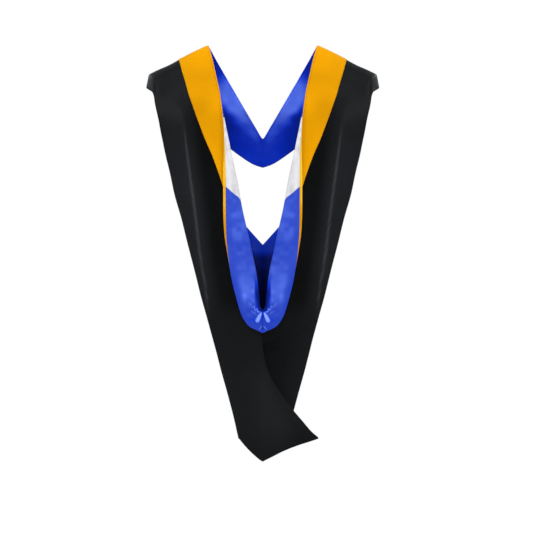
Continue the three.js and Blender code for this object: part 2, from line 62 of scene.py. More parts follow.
ROLL_RADIUS = 0.005  # of the turned-out mouth
PANEL_START = 0.004  # width of the inner layer where it begins, at the shoulder tip
GUSSET_START = 0.003  # strip along the mouth that widens into the keel in the tail
WING_FOLD_RADIUS = 0.0085  # of the fold down the outside of each wing
FLAT_EDGE = 0.004  # last strip of the band where the mouth isn't turned out
FLAT_REVEAL = 0.0015  # velvet that stands past the lining where the mouth isn't turned out
TURNED_REVEAL = 0.0065  # the same at the turned-out edge, where most of it shows
LOW_REVEAL = 0.0003  # the same towards the bottom of the mouth

# The cloths, which are thinner and closer together than the CAD's walls
SHELL_THICKNESS = 0.0009
LINING_THICKNESS = 0.0006
VELVET_THICKNESS = 0.0013
PLY_GAP = 0.0004  # between two cloths that lie on each other
LINING_GAP = 0.0009  # between the shell and its lining
SEAM_GAP = 0.00004  # between two pieces that are sewn edge to edge
TURNED_LIFT = 0.0058  # of the turned-out edge above the outer layer, with room for soft folds

# Small forms of the soft cloth that the CAD doesn't have
RIDGE_SOFTNESS = 0.01  # eases the top of the wing's fold, which is crisper than in the CAD
RIDGE_POWER = 0.6
POCKET_DEPTH = 0.008  # how much lower the bottom of the mouth hangs
HEM_ARCH = 0.0068  # how far the tail's hem curves off a straight line
CORNER_RADIUS = 0.007  # of the tail's corners
CORNER_STEPS = 6  # grid steps that give the direction of the edges at such a corner
NECK_ROUNDING = 0.003  # of the lowest point of the neck edge
VELVET_CUT = 0.0008  # share of HOOD_LENGTH by which the velvet ends above the mouth's end
STREAK_HIGHLIGHT_WIDTH = 0.0028  # of the painted highlight line along the pressed crease
CREASE_WIDTH = 0.003
CREASE_HEIGHT = 0.0011
LOOSE_HEIGHT = 0.0009  # heights of the soft unevenness: all over, in long folds and in the tail
LONG_FOLD_HEIGHT = 0.0014
TAIL_FOLD_HEIGHT = 0.0022
PUCKER_HEIGHT = 0.0015  # of the satin, large and small
SMALL_PUCKER_HEIGHT = 0.0005

HALF_SPAN = SHOULDER_SPAN / 2
HALF_NECK = NECK_SPAN / 2
SHELL_FACE = PLY_GAP / 2
SHELL_TOP = SHELL_FACE + SHELL_THICKNESS


def columns(names, *rows):
    """A table of shares, as one array for each named column."""
    return dict(zip(names.split(), np.array(rows).T))


# The yoke, from the shoulder line (along 0) to the centre front (along 1). Forward sizes are shares
# of CHEST_DEPTH, hem_out of HALF_SPAN and hem_down of YOKE_HEM_DROP below SHOULDER_DROP.
YOKE = columns(
    "along roll_forward hem_out hem_down hem_forward",
    (0.0, 0.0, 1.0, 0.0, 0.06),
    (0.02, 0.12, 0.985, 0.02, 0.13),
    (0.06, 0.21, 0.945, 0.065, 0.22),
    (0.15, 0.34, 0.84, 0.18, 0.38),
    (0.35, 0.62, 0.61, 0.42, 0.65),
    (0.55, 0.79, 0.4, 0.64, 0.83),
    (0.75, 0.9, 0.21, 0.84, 0.94),
    (0.9, 0.95, 0.075, 0.965, 0.985),
    (1.0, 0.96, 0.0, 1.0, 1.0),
)

# The mouth down the back. Levels are shares of HOOD_LENGTH below the neck edge, horizon (the inner
# edge that shows) of HALF_NECK, back of BACK_DEPTH, seam of VELVET_WIDTH, edge_out of TURNED_WIDTH.
MOUTH = columns(
    "level horizon back seam edge_level edge_out",
    (0.0, 1.0, 0.0, 0.82, 0.0, 1.42),
    (0.005, 0.99, 0.08, 0.82, 0.005, 1.4),
    (0.014, 0.965, 0.14, 0.83, 0.014, 1.36),
    (0.03, 0.928, 0.21, 0.857, 0.03, 1.3),
    (0.078, 0.843, 0.42, 0.876, 0.078, 1.22),
    (0.126, 0.76, 0.575, 0.84, 0.126, 1.13),
    (0.174, 0.69, 0.68, 0.76, 0.174, 1.055),
    (0.218, 0.63, 0.745, 0.664, 0.218, 1.025),
    (0.261, 0.567, 0.785, 0.547, 0.261, 1.005),
    (0.334, 0.448, 0.835, 0.43, 0.334, 0.99),
    (0.391, 0.375, 0.865, 0.35, 0.391, 0.988),
    (0.444, 0.285, 0.895, 0.28, 0.445, 0.978),
    (0.492, 0.205, 0.92, 0.22, 0.495, 0.935),
    (0.552, 0.11, 0.955, 0.2, 0.562, 0.825),
    (0.603, 0.065, 0.98, 0.2, 0.627, 0.625),
    (0.623, 0.052, 0.99, 0.2, 0.672, 0.38),
    (0.634, 0.0, 1.0, 0.2, 0.691, 0.0),
)

# The fold down the outside of each wing: out is a share of HALF_SPAN, back of BACK_DEPTH and
# radius of WING_FOLD_RADIUS.
WING_FOLD = columns(
    "level out back radius",
    (0.0995, 1.0, -0.05, 0.4),
    (0.11, 0.949, 0.18, 0.43),
    (0.132, 0.924, 0.3, 0.58),
    (0.174, 0.884, 0.44, 0.8),
    (0.218, 0.854, 0.51, 1.0),
    (0.334, 0.765, 0.595, 1.0),
    (0.449, 0.658, 0.645, 1.0),
    (0.565, 0.553, 0.695, 1.0),
    (0.68, 0.444, 0.735, 0.9),
    (0.796, 0.336, 0.755, 0.7),
    (0.87, 0.266, 0.768, 0.5),
    (0.944, 0.199, 0.785, 0.3),
)

# The free edge of the inner layer, and below it the seam at the centre of the wearer's back.
# Out is a share of HALF_SPAN and back of BACK_DEPTH.
INNER_EDGE = columns(
    "level out back",
    (0.11, 0.94, 0.17),
    (0.142, 0.86, 0.33),
    (0.19, 0.74, 0.44),
    (0.284, 0.515, 0.535),
    (0.379, 0.29, 0.585),
    (0.435, 0.145, 0.603),
    (0.476, 0.0155, 0.614),
    (0.481, 0.0, 0.615),
    (0.634, 0.0, 0.667),
    (0.786, 0.0, 0.705),
    (0.944, 0.0, 0.775),
)

# The tail below the mouth: reach of the keel past the centre line, a share of KEEL_REACH, and how
# far back the centre line and the keel lie, shares of BACK_DEPTH.
TAIL = columns(
    "level reach line_back keel_back",
    (0.634, 0.0, 1.0, 1.0),
    (0.697, 0.0, 0.985, 0.985),
    (0.722, 0.0, 0.985, 0.985),
    (0.742, 0.02, 0.985, 0.985),
    (0.786, 0.11, 0.98, 0.98),
    (0.829, 0.287, 0.965, 0.965),
    (0.873, 0.516, 0.935, 0.95),
    (0.901, 0.69, 0.905, 0.935),
    (0.928, 0.86, 0.865, 0.92),
    (0.944, 1.0, 0.83, 0.9),
)

# The pressed crease down each wing, along which a painted highlight line is laid, in shares of
# HALF_SPAN
STREAK = columns(
    "level out",
    (0.11, 0.715),
    (0.134, 0.702),
    (0.237, 0.66),
    (0.3, 0.631),
    (0.401, 0.582),
    (0.502, 0.538),
    (0.596, 0.483),
    (0.68, 0.45),
)

# Small raised folds where the satin is gathered below the mouth, as lines on the turned-out lining.
# Ends are shares of TURNED_WIDTH out and levels down, width and height shares of ROLL_RADIUS.
GATHERS = columns(
    "out level to_out to_level width height",
    (0.03, 0.641, 0.17, 0.666, 1.25, 0.6),
    (0.0, 0.6725, 0.11, 0.683, 0.4, 0.24),
    (0.03, 0.6415, 0.15, 0.6395, 0.4, 0.34),
    (0.14, 0.643, 0.152, 0.632, 0.36, 0.26),
    (0.15, 0.632, 0.205, 0.638, 0.38, 0.32),
    (0.205, 0.638, 0.238, 0.625, 0.36, 0.26),
    (0.238, 0.625, 0.292, 0.632, 0.36, 0.2),
    (0.292, 0.632, 0.333, 0.619, 0.34, 0.22),
    (0.19, 0.647, 0.25, 0.64, 0.34, 0.22),
    (0.26, 0.645, 0.3, 0.637, 0.34, 0.14),
    (0.34, 0.632, 0.39, 0.614, 0.34, 0.14),
)

# Painted light and shade of the turned-out lining, at its outer edge and in its middle
FLAP_PAINTED_LIGHT = columns(
    "level edge middle",
    (0.38, 0.55, 0.6),
    (0.42, 0.56, 0.62),
    (0.47, 0.54, 0.59),
    (0.5, 0.59, 0.57),
    (0.54, 0.53, 0.6),
    (0.57, 0.5, 0.66),
    (0.605, 0.5, 0.74),
    (0.63, 0.49, 0.6),
    (0.66, 0.5, 0.5),
)

# Stations where the form changes, as shares of HOOD_LENGTH
MOUTH_END = 0.634
TAIL_END = 0.944
TAIL_DIP_START = 0.853
SLANT_END = 0.405
SLANT_POWER = 1.5
TURN_START = 0.08
TURN_FULL = 0.25
FAN_START = 0.585
KEEL_START = 0.7
KEEL_FULL = 0.745
CHEVRON_TOP = 0.175
CHEVRON_EDGE = 0.34  # its lower edge: at the turned-out edge, on the roll and then into the bag
CHEVRON_ROLL = 0.391
CHEVRON_SEAM = 0.402
CHEVRON_INSIDE = 0.44

TIP_SHARE = 0.88  # where the shoulder's lift is highest, between the neck edge and the hem
TIP_LIFT_OUT = 0.56  # shares of the lift that go outwards and up
TIP_LIFT_UP = 0.83
YOKE_BULGE = 0.006
BULGE_FORWARD = 0.9
BULGE_UP = 0.4
BACK_CURVE = 2.8  # how late the outer layer turns forward towards the wing fold
RIDGE_TOP = 0.66  # the fold's place across the wing, at its top and at its foot
RIDGE_FOOT = 0.93
RIDGE_WIDTH = 0.13
TAIL_SQUEEZE = 0.55

# Lanes across the strip: the inner layer's edge, the start and end of the wing fold's arc, the velvet's
# seam, the line where the keel begins, the last lane of the shell, the end of the roll, the lining's
# turned-out edge and the velvet's lip past it. Each stretch between two of them is one unit wide.
INNER, ARC, FOLD, SEAM, LINE, END, ROLLED, EDGE, LIP = range(9)
LANE_STEPS = {INNER: 6, ARC: 10, FOLD: 30, SEAM: 16, LINE: 6, END: 14, ROLLED: 40, EDGE: 3}


def mix(a, b, t):
    """A number between a and b, by the share t."""
    return a + (b - a) * t


def ramp(x, start, stop):
    """A smooth step from 0 at start to 1 at stop."""
    t = np.clip((x - start) / (stop - start), 0, 1)
    return t * t * (3 - 2 * t)


def vec(x, y, z):
    """Points or directions from their coordinates."""
    return np.stack(np.broadcast_arrays(x, y, z), axis=-1).astype(float)


def unit(v):
    return v / np.maximum(np.linalg.norm(v, axis=-1, keepdims=True), 1e-12)


def lerp(a, b, t):
    """Points between a and b, by a share for each."""
    return a + (b - a) * np.asarray(t)[..., None]


def along(v, distance):
    """Directions times a distance for each."""
    return v * np.asarray(distance)[..., None]


def choose(condition, a, b):
    """Points of a where the condition holds, else of b."""
    return np.where(np.asarray(condition)[..., None], a, b)


def follow(table, column, at, by="level"):
    """A column of a table as a smooth curve that never overshoots its rows."""
    x, y = table[by], table[column]
    rise = np.diff(y) / np.diff(x)
    before, after = rise[:-1], rise[1:]
    same_way = before * after > 0
    total = np.where(same_way, before + after, 1)
    middle = np.where(same_way, 2 * before * after / total, 0)
    tangent = np.concatenate(([rise[0]], middle, [rise[-1]]))
    k = np.clip(np.searchsorted(x, at, side="right") - 1, 0, len(x) - 2)
    span = x[k + 1] - x[k]
    t = np.clip((at - x[k]) / span, 0, 1)
    step = t * t * (3 - 2 * t) * (y[k + 1] - y[k])
    return y[k] + step + span * t * (1 - t) * ((1 - t) * tangent[k] - t * tangent[k + 1])


LATTICE = 64  # bumps each way before the noise repeats


def soft_noise(x, y, size, seed):
    """Smooth noise from -1 to 1 over a plane, with bumps of about the given size."""
    rng = np.random.default_rng(seed)
    lattice = rng.uniform(-1, 1, (LATTICE, LATTICE))
    gx, gy = x / size, y / size
    ix, iy = np.floor(gx).astype(int), np.floor(gy).astype(int)
    tx, ty = gx - ix, gy - iy
    tx, ty = tx * tx * (3 - 2 * tx), ty * ty * (3 - 2 * ty)

    def corner(i, j):
        return lattice[(ix + i) % LATTICE, (iy + j) % LATTICE]

    low = mix(corner(0, 0), corner(1, 0), tx)
    high = mix(corner(0, 1), corner(1, 1), tx)
    return mix(low, high, ty)


# The strip's middle surface, worked out as the CAD does it

def turning(station):
    """How far the mouth is turned out, from 0 to 1."""
    return np.where(station < 0, 0, ramp(station, TURN_START, TURN_FULL))


def fanning(station):
    """How far the turned-out lining has swung from outwards to straight down, from 0 to 1."""
    return ramp(station, FAN_START, MOUTH_END)


def slanted_level(station):
    """The level of the wing fold, which starts lower than the neck edge does."""
    share = np.clip(1 - station / SLANT_END, 0, 1)
    return station + SHOULDER_DROP / HOOD_LENGTH * share ** SLANT_POWER


def tail_dip(station):
    """How much lower the tail's centre line hangs than its sides."""
    share = np.clip((station - TAIL_DIP_START) / (TAIL_END - TAIL_DIP_START), 0, 1)
    return HOOD_LENGTH * (1 - TAIL_END) * share ** SLANT_POWER


def fold_point(station):
    """The yoke's hem, and down the back the fold on the outside of the wing."""
    hem_out = HALF_SPAN * follow(YOKE, "hem_out", -station, "along")
    hem_forward = CHEST_DEPTH * follow(YOKE, "hem_forward", -station, "along")
    hem_down = mix(SHOULDER_DROP, YOKE_HEM_DROP, follow(YOKE, "hem_down", -station, "along"))
    level = slanted_level(np.maximum(station, 0))
    out = HALF_SPAN * follow(WING_FOLD, "out", level)
    back = BACK_DEPTH * follow(WING_FOLD, "back", level)
    front = vec(hem_out, hem_forward, -hem_down)
    return choose(station < 0, front, vec(out, -back, -HOOD_LENGTH * level))


def line_point(station, flops):
    """The tail's centre line. The half that doesn't flop over passes behind the other one there."""
    behind = 0 if flops else 2 * TAIL_PLY_SPACING * ramp(station, KEEL_START, KEEL_FULL)
    squeeze = 1 - TAIL_SQUEEZE * ramp(station, TAIL_DIP_START, TAIL_END)
    back = BACK_DEPTH * follow(TAIL, "line_back", station) - behind * squeeze
    return vec(0, -back, -HOOD_LENGTH * station - tail_dip(station))


def keel_point(station, flops):
    """The free edge of the keel."""
    reach = KEEL_REACH * follow(TAIL, "reach", station)
    behind = 0 if flops else TAIL_PLY_SPACING * ramp(station, KEEL_START, KEEL_FULL)
    back = BACK_DEPTH * follow(TAIL, "keel_back", station) - behind
    return vec(-reach if flops else reach, -back, -HOOD_LENGTH * station)


def neck_point(station):
    """The innermost line that shows from behind: the neck edge and the mouth's horizon."""
    forward = CHEST_DEPTH * follow(YOKE, "roll_forward", -station, "along")
    front_out = HALF_NECK * (1 + station)
    rounding = (np.hypot(front_out, NECK_ROUNDING) - front_out) * ramp(-station, 0.5, 0.9)
    front = vec(front_out, forward, YOKE_NECK_DROP * (station + rounding / HALF_NECK))
    out = HALF_NECK * follow(MOUTH, "horizon", station)
    back = BACK_DEPTH * follow(MOUTH, "back", station)
    return choose(station < 0, front, vec(out, -back, -HOOD_LENGTH * station))


def roll_point(station, flops=True):
    """Where the strip turns over at the mouth. In the tail it is the centre line."""
    neck = neck_point(station)
    past = mix(FLAT_EDGE + FLAT_REVEAL, ROLL_RADIUS + LINING_GAP + LINING_THICKNESS, turning(station))
    outward = unit(fold_point(station) - neck)
    ring = neck + along(outward, past * (1 - fanning(station)))
    point = choose(station > MOUTH_END, line_point(station, flops), ring)
    point[..., 2] -= POCKET_DEPTH * fanning(station) * ramp(station, 0.685, MOUTH_END)
    return point


def outer_point(station, across, flops=True):
    """The outer layer: across 0 at the mouth or the tail's centre line, 1 at the wing fold."""
    roll, fold = roll_point(station, flops), fold_point(station)
    point = lerp(roll, fold, across)
    shoulder = np.where(station < 0, ramp(-station, 0.4, 0), ramp(station, 0.075, 0))
    tent = np.where(across < TIP_SHARE, across / TIP_SHARE, (1 - across) / (1 - TIP_SHARE))
    lift = TIP_LIFT * shoulder * tent
    point[..., 0] += TIP_LIFT_OUT * lift
    point[..., 2] += TIP_LIFT_UP * lift
    bulge = YOKE_BULGE * np.sin(math.pi * across) * ramp(-station, 0, 0.15)
    power = mix(1, BACK_CURVE, ramp(station, 0, 0.2))
    back_y = mix(roll[..., 1], fold[..., 1], np.maximum(across, 0) ** power)
    ridge = mix(RIDGE_TOP, RIDGE_FOOT, np.clip((station - 0.13) / 0.5, 0, 1))
    height = RIDGE_HEIGHT * ramp(station, 0.05, 0.16) * ramp(station, 0.78, 0.5)
    flank = ((across - ridge) / RIDGE_WIDTH) ** 2
    back_y = back_y - height * np.exp(-(flank + RIDGE_SOFTNESS) ** RIDGE_POWER) * ramp(across, 1, 0.9)
    point[..., 1] = np.where(station < 0, point[..., 1] + BULGE_FORWARD * bulge, back_y)
    point[..., 2] += np.where(station < 0, BULGE_UP * bulge, 0)
    return point


STEP = 0.002  # along and across the strip, over which the outer layer's slopes are taken


def outer_normal(station, across, flops=True):
    """The direction that the outer layer faces."""
    low = np.where((station >= MOUTH_END) | (np.abs(station) < STEP), station, station - STEP)
    down = outer_point(station + STEP, across, flops) - outer_point(low, across, flops)
    near, far = np.maximum(0, across - STEP), np.minimum(1, across + STEP)
    over = outer_point(station, far, flops) - outer_point(station, near, flops)
    return unit(np.cross(down, over))


def seam_share(station):
    """Share of the outer layer's width at which the velvet's seam lies."""
    station = np.minimum(station, MOUTH_END)
    roll, fold = roll_point(station), fold_point(station)
    span = fold - roll
    width = np.linalg.norm(span, axis=-1)
    back = VELVET_WIDTH * follow(MOUTH, "seam", station) / np.where(station < 0, width, span[..., 0])
    neck_line = np.array([YOKE_NECK_DROP, 0, -HALF_NECK]) / math.hypot(YOKE_NECK_DROP, HALF_NECK)
    square = np.abs(span @ neck_line)
    front = np.minimum(VELVET_WIDTH / square, 1 - YOKE_BORDER / width)
    return np.where(station < 0, front, back)


def lip_reveal(station):
    """How far the velvet's lip stands out past the lining."""
    turned = mix(FLAT_REVEAL, TURNED_REVEAL, ramp(station, 0.2, 0.33))
    return mix(turned, LOW_REVEAL, ramp(station, 0.39, 0.56))


def edge_point(station, reveal):
    """The turned-out edge, lying on the outer layer; reveal moves the point further out."""
    level = follow(MOUTH, "edge_level", station)
    fan = fanning(station)
    roll, fold = roll_point(level), fold_point(level)
    out = TURNED_WIDTH * follow(MOUTH, "edge_out", station) + reveal * (1 - fan)
    across = np.clip((out - roll[..., 0]) / (fold[..., 0] - roll[..., 0]), 0, 1)
    point = outer_point(level, across) + TURNED_LIFT * outer_normal(level, across)
    point[..., 2] -= reveal * fan
    return point


def turned_point(station, lane):
    """The strip past the roll. Where the mouth is only partly turned over, it stands up."""
    roll, turned, fan = roll_point(station), turning(station), fanning(station)
    normal = outer_normal(station, np.zeros_like(station))
    inward = unit(roll - outer_point(station, np.full_like(station, 0.06)))
    heading = unit(lerp(inward, vec(fan - 1, 0, fan), turned))
    rolled = np.clip(lane - END, 0, 1)
    angle = math.pi * turned * rolled
    tangent = along(heading, np.cos(angle)) + along(normal, np.sin(angle))
    point = roll + along(heading, ROLL_RADIUS * turned * (1 - 0.85 * fan) * np.sin(angle))
    point = point + along(normal, ROLL_RADIUS * turned * (1 - np.cos(angle)))
    point = point + along(tangent, FLAT_EDGE / 2 * (1 - turned) * rolled)
    settled = ramp(turned, 0.5, 1)
    flat_edge = lerp(point + tangent * FLAT_EDGE / 2, edge_point(station, 0), settled)
    reveal = lip_reveal(station)
    flat_lip = point + along(tangent, FLAT_EDGE / 2 + reveal)
    lip = lerp(flat_lip, edge_point(station, reveal), settled)
    point = lerp(point, flat_edge, np.clip(lane - ROLLED, 0, 1))
    return lerp(point, lip, np.clip(lane - EDGE, 0, 1))


def inner_point(station, share, arc_end, outward):
    """The inner layer, from its free edge or seam to the start of the wing fold's arc."""
    start = arc_end - PANEL_START * outward
    level = slanted_level(np.maximum(station, 0))
    out = HALF_SPAN * follow(INNER_EDGE, "out", level)
    back = BACK_DEPTH * follow(INNER_EDGE, "back", level)
    edge = vec(out, -back, -HOOD_LENGTH * level - tail_dip(station))
    spread = ramp(fold_point(station)[..., 0] - out, PANEL_START, 8 * PANEL_START)
    start = lerp(start, edge, spread)
    return lerp(start, arc_end, share)


def strip_point(station, lane, flops):
    """The strip's middle surface, for arrays of stations and lanes."""
    fold = fold_point(station)
    edge_across = np.ones_like(station)
    normal = outer_normal(station, edge_across, flops)
    outward = unit(fold - outer_point(station, 0.97 * edge_across, flops))
    radius = WING_FOLD_RADIUS * follow(WING_FOLD, "radius", slanted_level(np.maximum(station, 0)))
    turn = math.pi * np.clip(FOLD - lane, 0, 1)
    arc = fold + along(normal, radius * (np.cos(turn) - 1)) + along(outward, radius * np.sin(turn))
    inner = inner_point(station, np.clip(lane, 0, 1), arc, outward)

    seam, roll = seam_share(station), roll_point(station, flops)
    line_share = np.where(station > MOUTH_END, 0, GUSSET_START / np.linalg.norm(fold - roll, axis=-1))
    across = mix(1, seam, np.clip(lane - FOLD, 0, 1))
    across = mix(across, line_share, np.clip(lane - SEAM, 0, 1))
    gusset = np.clip(lane - LINE, 0, 1)
    outer = outer_point(station, np.where(station > MOUTH_END, across, mix(across, 0, gusset)), flops)
    outer[..., 2] -= 2 * HEM_ARCH * across * (1 - across) * ramp(station, TAIL_DIP_START, TAIL_END)
    keel = lerp(outer, keel_point(station, flops), gusset)
    keel[..., 2] += 4 * HEM_ARCH * gusset * (1 - gusset) * ramp(station, TAIL_DIP_START, TAIL_END)
    outer = choose((station > MOUTH_END) & (lane > LINE), keel, outer)

    point = choose(lane < FOLD, arc, outer)
    point = choose(lane < ARC, inner, point)
    return choose(lane > END, turned_point(np.minimum(station, MOUTH_END), lane), point)


def normals_of(point):
    """The directions that a grid of points faces."""
    down = np.gradient(point, axis=0)
    over = -np.gradient(point, axis=1)
    return unit(np.cross(down, over))


def lanes(first, last):
    """The lanes from first to last, divided as finely as LANE_STEPS says."""
    stretches = [np.linspace(k, k + 1, LANE_STEPS[k], endpoint=False) for k in range(first, last)]
    return np.concatenate([*stretches, [last]])


def arc_lengths(point, axis):
    """Lengths along the cloth from the grid's first line."""
    gaps = np.linalg.norm(np.diff(point, axis=axis), axis=-1)
    pad = [(0, 0), (0, 0)]
    pad[axis] = (1, 0)
    return np.cumsum(np.pad(gaps, pad), axis=axis)


def rounded_corners(point, lane, station):
    """The tail's lower corners, eased by CORNER_RADIUS as sewn and turned cloth is."""
    if station.max() < TAIL_END:
        return point
    point = point.copy()
    edge = point[:, -1:]
    above = np.linalg.norm(point[-1:] - point, axis=-1)
    beside = np.linalg.norm(edge - point, axis=-1)
    a = np.clip(1 - beside / CORNER_RADIUS, 0, 1)
    b = np.clip(1 - above / CORNER_RADIUS, 0, 1)
    to_edge = unit(edge - point[:, -CORNER_STEPS][:, None])
    to_hem = unit(point[-1:] - point[-CORNER_STEPS][None])
    point += along(to_edge, CORNER_RADIUS * a * (np.sqrt(1 - b * b / 2) - 1))
    point += along(to_hem, CORNER_RADIUS * b * (np.sqrt(1 - a * a / 2) - 1))
    lowest_x = point[-1, np.argmax(lane[-1] >= LINE), 0]
    beside_lowest = np.abs(point[..., 0] - lowest_x)
    lift = np.hypot(beside_lowest, CORNER_RADIUS / 2) - beside_lowest
    point[..., 2] += 0.6 * lift * np.exp(-above / (2 * CORNER_RADIUS))
    return point


def streak_distance(point):
    """Metres outwards from the pressed crease of the wing."""
    return point[..., 0] - HALF_SPAN * follow(STREAK, "out", -point[..., 2] / HOOD_LENGTH)


def on_wing(station, lane):
    """1 where the strip is the outside of a wing, fading to 0 at the shoulder and in the tail."""
    return ramp(lane, ARC, FOLD) * ramp(station, 0.06, 0.12) * ramp(station, 0.7, 0.6)


def cloth_relief(point, lane, station):
    """Soft unevenness that all layers share, in metres along the normal."""
    x, z = point[..., 0], point[..., 2]
    loose = LOOSE_HEIGHT * soft_noise(x, z, 0.055, 3)
    long_folds = LONG_FOLD_HEIGHT * soft_noise(x, z * 0.2, 0.03, 4)
    tail_folds = TAIL_FOLD_HEIGHT * soft_noise(x, z * 0.35, 0.045, 5) * ramp(station, 0.66, 0.75)
    on_cloth = ramp(lane, ARC, FOLD) * ramp(lane, END, END - 0.3)
    crease = CREASE_HEIGHT * np.exp(-(streak_distance(point) / CREASE_WIDTH) ** 2)
    return (loose + long_folds + tail_folds) * on_cloth + crease * on_wing(station, lane)


def on_turned(lane):
    """1 on the turned-out lining and velvet, fading to 0 on the roll."""
    return ramp(lane, END + 0.6, ROLLED + 0.2)


def gathers(point):
    """How much each place on the turned-out lining rises into a small gathered fold, from 0 up."""
    x, z = point[..., 0], point[..., 2]
    rise = np.zeros_like(x)
    for out, level, to_out, to_level, width, height in zip(*GATHERS.values()):
        start = np.array([TURNED_WIDTH * out, -HOOD_LENGTH * level])
        reach = np.array([TURNED_WIDTH * to_out, -HOOD_LENGTH * to_level]) - start
        length = np.hypot(*reach)
        ahead = ((x - start[0]) * reach[0] + (z - start[1]) * reach[1]) / length ** 2
        spread = width * ROLL_RADIUS * np.clip(0.3 + 0.7 * ahead, 0.3, 1)
        beside = ((x - start[0]) * reach[1] - (z - start[1]) * reach[0]) / (length * spread)
        rise += height * np.clip(1 - (2 * ahead - 1) ** 4 - beside ** 2, 0, 1) ** 0.7
    return rise


def satin_relief(point, lane):
    """How far the lining stands off its neighbour, in metres, always towards where it shows."""
    x, z = point[..., 0], point[..., 2]
    puckers = 0.5 + 0.5 * soft_noise(x, z, 0.021, 11)
    creases = 0.5 + 0.5 * soft_noise(x, z, 0.009, 12)
    free = on_turned(lane) * ramp(lane, EDGE, EDGE - 0.25) + ramp(lane, END, END - 0.5)
    shown = np.clip(free, 0, 1) * ramp(np.abs(lane - FOLD), 0.2, 0.5)
    gathered = ROLL_RADIUS * gathers(point) * on_turned(lane)
    return (PUCKER_HEIGHT * puckers + SMALL_PUCKER_HEIGHT * creases) * shown + gathered


# The tones of the cloths, from 0, the darkest, to 1. Apart from random clouds and the white satin's
# stains, they are painted light and shade: lit faces, shaded hollows, cast shadows and highlights. Each
# material turns its tones into colours.
SHOULDER_TONE = 0.29
WING_MOUTH_SHADE_TONE = 0.04  # painted shade beside the mouth
WING_OUTER_LIT_TONE = 0.43  # painted light outside the pressed crease
STREAK_HIGHLIGHT_TONE = 0.36  # painted highlight that the crease adds
TAIL_TONE = 0.25
TAIL_LINE_SHADE_TONE = 0.18  # painted shade at the centre line of the half that flops over
# Painted light on the keel of the half that flops over, which stands proud
KEEL_LIT_TONE = 0.42
# Painted shadow that the keel casts on the half beneath it
KEEL_SHADOW_TONE = 0.05
GOLD_TONE = 0.5
WHITE_TONE = 0.6
# Painted shade at the yoke's top, beside the shoulder
YOKE_TOP_SHADE_TONE = 0.36
# Painted shade on the roll beside the gap
ROLL_SHADE_TONE = 0.18
SEAM_TONE = 0.4
GATHER_HIGHLIGHT_TONE = 0.6  # painted highlight where a gather starts to rise
HIGH_GATHER_HIGHLIGHT_TONE = 1.3  # painted highlight for a gather as high as ROLL_RADIUS


def black_painted_shading(point, lane, station, flops):
    """Painted light outside the pressed crease with a painted highlight line along it, painted shade
    beside the mouth, and random clouds.
    """
    beyond = streak_distance(point)
    wing = mix(WING_MOUTH_SHADE_TONE, WING_OUTER_LIT_TONE, ramp(beyond, -0.045, 0.0))
    # Painted shade at the top of the wing and lower down it
    wing = wing * mix(0.55, 1, ramp(station, 0.12, 0.3)) * mix(1, 0.85, ramp(station, 0.48, 0.6))
    painted_streak = STREAK_HIGHLIGHT_TONE * np.exp(-(beyond / STREAK_HIGHLIGHT_WIDTH) ** 2) * ramp(station, 0.1, 0.22)
    upper = mix(SHOULDER_TONE, wing + painted_streak, on_wing(station, lane))
    # The flopped keel carries painted light; the other half carries the keel's painted shadow
    if flops:
        keel = ramp(station, 0.7, 0.84) * ramp(station, 0.99, 0.86)
        tail = mix(TAIL_TONE, mix(TAIL_LINE_SHADE_TONE, KEEL_LIT_TONE, keel), ramp(lane, FOLD, LINE))
    else:
        tail = mix(TAIL_TONE, KEEL_SHADOW_TONE, ramp(lane, FOLD, SEAM))
    # Painted shade towards the keel's free edge
    tail = tail - 0.1 * ramp(lane, LINE + 0.3, END)
    clouds = 0.04 * soft_noise(point[..., 0], point[..., 2] * 0.4, 0.05, 8)
    return mix(upper, tail + clouds, ramp(station, 0.6, 0.7) * ramp(lane, ARC, FOLD))


def gold_painted_shading(point, lane, station, flops):
    """Painted light on the shoulder and at the narrow end, a painted highlight line along the turned
    edge, and random clouds.
    """
    depth = -point[..., 2]
    clouds = 0.1 * soft_noise(point[..., 0], point[..., 2], 0.04, 9)
    # Painted highlight along the turned edge
    line = 0.07 * ramp(lane, LINE - 0.25, LINE) + 0.23 * ramp(lane, END - 0.1, END + 0.4)
    line = line * ramp(station, 0.08, 0.18) * ramp(station, 0.43, 0.3)
    # Painted light on the shoulder's top and at the band's narrow end
    shoulder = 0.14 * ramp(depth, 0.12, 0.03)
    painted_light_narrow_end = 0.17 * ramp(depth, 0.17, 0.27)
    return GOLD_TONE + shoulder + painted_light_narrow_end + clouds + line


def white_tone(point, lane, station, flops):
    """Soft stains of grey."""
    return WHITE_TONE + 0.4 * soft_noise(point[..., 0], point[..., 2], 0.012, 15)


def yoke_painted_light(point, lane, station):
    """Painted light: a lit band below the neck edge, with painted shade at its narrow top and towards
    the hem.
    """
    share = np.clip(LINE - lane, 0, 1)  # 0 at the neck edge, 1 at the velvet's seam
    clouds = soft_noise(point[..., 0], point[..., 2], 0.02, 21)
    border = mix(0.57, 0.3, ramp(-station, 0.35, 0.95)) + 0.08 * clouds
    painted_shade_band = mix(0.27, 0.43, ramp(-station, 0.45, 0.85))
    painted_light_band = mix(0.8, 0.6, ramp(-station, 0.66, 0.92)) + 0.06 * clouds
    painted_light_band = mix(painted_light_band, 0.44, ramp(-station, 0.88, 0.98))
    tone = mix(painted_light_band, painted_shade_band, ramp(share - border, -0.28, 0.14))
    return mix(YOKE_TOP_SHADE_TONE, tone, ramp(-station, 0.22, 0.42))


